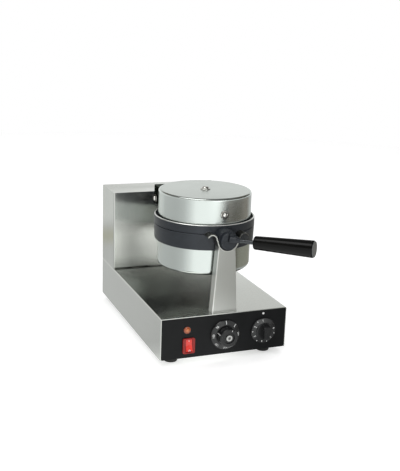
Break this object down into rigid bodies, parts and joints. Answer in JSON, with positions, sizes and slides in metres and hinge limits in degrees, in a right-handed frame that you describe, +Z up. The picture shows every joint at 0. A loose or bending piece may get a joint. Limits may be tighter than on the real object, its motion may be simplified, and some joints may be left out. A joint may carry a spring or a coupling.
{
  "type": "waffle cone maker",
  "caption": "Rotary waffle cone maker: stainless base and rear tower, front post, and a round head of two hinged baking plates that turns over.",
  "frame": {"origin": "on the table, in the middle of the bounding box of the whole maker, handle and cable gland included", "axes": "+X to the right seen from the control panel, +Y to the back tower, +Z up; the head turns about a line along Y at X = 0"},
  "size_m": [0.25, 0.5382, 0.306],
  "materials": {
    "stainless": "brushed",
    "zinc_screws": "satin",
    "dome_screws": "polished",
    "panel_black": "satin",
    "rubber": "matt",
    "bearing_steel": "machined",
    "bronze": "plain",
    "black_nylon": "matt",
    "cream_plastic": "matt",
    "red_plastic": "glossy",
    "amber_lens": "glossy",
    "cast_iron": "coated",
    "drum_steel": "spun",
    "sheet_steel": "plain",
    "element_steel": "oxidised",
    "mineral_wool": "felted",
    "hood_steel": "brushed",
    "handle_steel": "plain",
    "grip_black": "glossy",
    "cap_grey": "satin"
  },
  "bodies": {
    "base": {"base_shell": "stainless", "bottom_plate": "stainless", "bottom_screws": "zinc_screws", "front_panel": "panel_black", "rubber_feet": "rubber", "foot_screws": "zinc_screws", "tower_shell": "stainless", "tower_back_cover": "stainless", "back_cover_screws": "zinc_screws", "front_post": "stainless", "post_screws": "zinc_screws", "post_cradle": "stainless", "bearing_housing": "bearing_steel", "housing_bolts": "zinc_screws", "shaft_bushes": "bronze", "bearing_bracket": "bearing_steel", "stop_blocks": "bearing_steel", "cable_gland": "black_nylon", "gland_nut": "black_nylon", "terminal_block": "cream_plastic", "thermostat_body": "cream_plastic", "timer_body": "cream_plastic", "switch_body": "red_plastic", "indicator_body": "black_nylon", "indicator_lens": "amber_lens"},
    "head": {"lower_plate": "cast_iron", "lower_shell": "drum_steel", "lower_shell_brackets": "sheet_steel", "lower_side_screws": "dome_screws", "lower_element": "element_steel", "lower_insulation": "mineral_wool", "lower_stud": "dome_screws", "lower_cap_nut": "dome_screws", "hinge_bracket": "cast_iron", "bracket_bolts": "zinc_screws", "turning_shaft": "bearing_steel", "stop_collar": "bearing_steel", "shaft_nut": "bearing_steel", "hinge_pin": "dome_screws"},
    "lid": {"upper_plate": "cast_iron", "upper_shell": "drum_steel", "upper_shell_brackets": "sheet_steel", "upper_side_screws": "dome_screws", "upper_element": "element_steel", "upper_insulation": "mineral_wool", "upper_stud": "dome_screws", "upper_cap_nut": "dome_screws", "rear_hood": "hood_steel", "hood_screws": "dome_screws", "handle_rod": "handle_steel", "handle_grip": "grip_black", "grip_end_cap": "cap_grey"},
    "thermostat_knob": {"thermostat_dial": "grip_black", "thermostat_cap": "grip_black", "thermostat_shaft": "handle_steel"},
    "timer_knob": {"timer_dial": "grip_black", "timer_shaft": "handle_steel"},
    "power_rocker": {"switch_rocker": "red_plastic"}
  },
  "joints": [
    {"name": "head_flip", "type": "hinge", "parent": "base", "child": "head", "pos_m": [0, -0.0274, 0.231], "axis": [0, 1, 0], "range_deg": [-180, 0]},
    {"name": "lid_open", "type": "hinge", "parent": "head", "child": "lid", "pos_m": [0, 0.1061, 0.237], "axis": [-1, 0, 0], "range_deg": [0, 90]},
    {"name": "thermostat_turn", "type": "hinge", "parent": "base", "child": "thermostat_knob", "pos_m": [0.0005, -0.1489, 0.052], "axis": [0, 1, 0], "range_deg": [0, 270]},
    {"name": "timer_turn", "type": "hinge", "parent": "base", "child": "timer_knob", "pos_m": [0.078, -0.1489, 0.052], "axis": [0, 1, 0], "range_deg": [0, 300]},
    {"name": "power_rocker", "type": "hinge", "parent": "base", "child": "power_rocker", "pos_m": [-0.071, -0.1454, 0.038], "axis": [1, 0, 0], "range_deg": [0, 24]}
  ]
}
